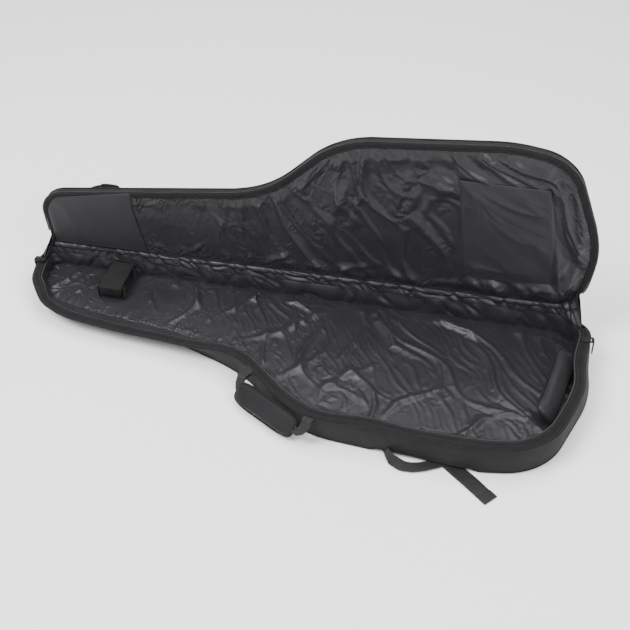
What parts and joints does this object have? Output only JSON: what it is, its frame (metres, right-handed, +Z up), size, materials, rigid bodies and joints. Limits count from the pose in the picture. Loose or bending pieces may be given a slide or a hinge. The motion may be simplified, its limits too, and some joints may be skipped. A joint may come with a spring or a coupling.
{
  "type": "padded gig bag",
  "caption": "Soft padded bass guitar bag lying on its back, hinged lid standing open, zip around the free sides, neck rest with strap, carry handle and shoulder straps folded underneath",
  "frame": {"origin": "on the flat underside of the back panel, midway along the bag and midway between hinge side and near side", "axes": "+X towards the tail of the bag, +Y towards the hinge side, +Z up"},
  "size_m": [1.1627, 0.5035, 0.443],
  "materials": {
    "outer_fabric": "matte woven polyester",
    "lining": "satin woven lining",
    "foam": "matte foam",
    "patch_fabric": "matte reinforcement cloth",
    "zip_tape": "matte woven tape",
    "zip_coil": "nylon coil",
    "binding": "grosgrain binding",
    "webbing": "woven webbing",
    "hook_and_loop": "pile",
    "black_metal": "black enamel",
    "buckle_plastic": "moulded, fine texture"
  },
  "bodies": {
    "base": {"back_shell": "outer_fabric", "back_foam": "foam", "back_lining": "lining", "wall_shell": "outer_fabric", "wall_foam_head": "foam", "wall_foam_near": "foam", "wall_foam_tail": "foam", "wall_foam_far": "foam", "wall_lining": "lining", "rim_binding": "binding", "base_zip_tape": "zip_tape", "base_zip_coil": "zip_coil", "zip_stops": "zip_coil", "neck_rest": "outer_fabric", "neck_strap_anchor": "webbing", "neck_strap_hook_patch": "hook_and_loop", "end_guard": "outer_fabric", "handle_anchors": "webbing", "shoulder_pad_right": "outer_fabric", "shoulder_pad_left": "outer_fabric", "pad_webbing_right": "webbing", "pad_webbing_left": "webbing", "ladder_lock_right": "buckle_plastic", "ladder_lock_left": "buckle_plastic", "lower_webbing_right": "webbing", "lower_webbing_left": "webbing", "strap_yoke": "webbing", "hinge_strip": "binding"},
    "lid": {"lid_lining": "lining", "lid_foam": "foam", "lid_shell": "outer_fabric", "lid_binding": "binding", "lid_zip_tape": "zip_tape", "lid_zip_coil": "zip_coil", "head_patch": "patch_fabric", "bridge_patch": "patch_fabric", "pocket_gusset": "outer_fabric", "pocket_panel": "outer_fabric", "pocket_zip_tape": "zip_tape", "pocket_zip_coil": "zip_coil", "grab_anchors": "webbing", "grab_handle": "webbing"},
    "zip_slider_head": {"zip_slider_head": "black_metal"},
    "zip_pull_head": {"zip_pull_head": "black_metal"},
    "zip_slider_tail": {"zip_slider_tail": "black_metal"},
    "zip_pull_tail": {"zip_pull_tail": "black_metal"},
    "pocket_slider": {"pocket_slider": "black_metal"},
    "pocket_pull": {"pocket_pull": "black_metal"},
    "carry_handle": {"handle_webbing": "webbing", "handle_grip": "outer_fabric"},
    "neck_strap": {"neck_strap": "webbing"},
    "strap_tail_right": {"strap_tail_right": "webbing"},
    "strap_tail_left": {"strap_tail_left": "webbing"}
  },
  "joints": [
    {"name": "lid_hinge", "type": "hinge", "parent": "base", "child": "lid", "pos_m": [0.00002, 0.192, 0.06479], "axis": [0.9999, 0, 0.0122], "range_deg": [-97, 87]},
    {"name": "head_slider_slide", "type": "slide", "parent": "base", "child": "zip_slider_head", "axis": [-0.0476, -0.9989, -0.0006], "range_m": [0, 0.024]},
    {"name": "head_pull_hinge", "type": "hinge", "parent": "zip_slider_head", "child": "zip_pull_head", "pos_m": [-0.56871, 0.14596, 0.05764], "axis": [0.0476, 0.9989, 0.0006], "range_deg": [0, 110]},
    {"name": "tail_slider_slide", "type": "slide", "parent": "base", "child": "zip_slider_tail", "axis": [0.061, -0.9981, 0.0007], "range_m": [0, 0.033]},
    {"name": "tail_pull_hinge", "type": "hinge", "parent": "zip_slider_tail", "child": "zip_pull_tail", "pos_m": [0.58631, 0.11595, 0.07175], "axis": [0.061, -0.9981, 0.0007], "range_deg": [0, 110]},
    {"name": "pocket_slider_slide", "type": "slide", "parent": "lid", "child": "pocket_slider", "axis": [0.0122, 0.0523, -0.9986], "range_m": [0, 0.18]},
    {"name": "pocket_pull_hinge", "type": "hinge", "parent": "pocket_slider", "child": "pocket_pull", "pos_m": [0.17856, 0.21789, 0.34874], "axis": [0.9999, 0, 0.0122], "range_deg": [0, 150]},
    {"name": "carry_handle_hinge", "type": "hinge", "parent": "base", "child": "carry_handle", "pos_m": [0.019, -0.145, 0.054], "axis": [-0.8566, 0.516, 0], "range_deg": [0, 115]},
    {"name": "neck_strap_hinge", "type": "hinge", "parent": "base", "child": "neck_strap", "pos_m": [-0.384, 0.1712, 0.0556], "axis": [1, 0, 0], "range_deg": [-95, 0]},
    {"name": "right_tail_slide", "type": "slide", "parent": "base", "child": "strap_tail_right", "axis": [0.7604, -0.6494, 0], "range_m": [0, 0.04]},
    {"name": "left_tail_slide", "type": "slide", "parent": "base", "child": "strap_tail_left", "axis": [0.766, -0.6428, 0], "range_m": [0, 0.02]}
  ]
}
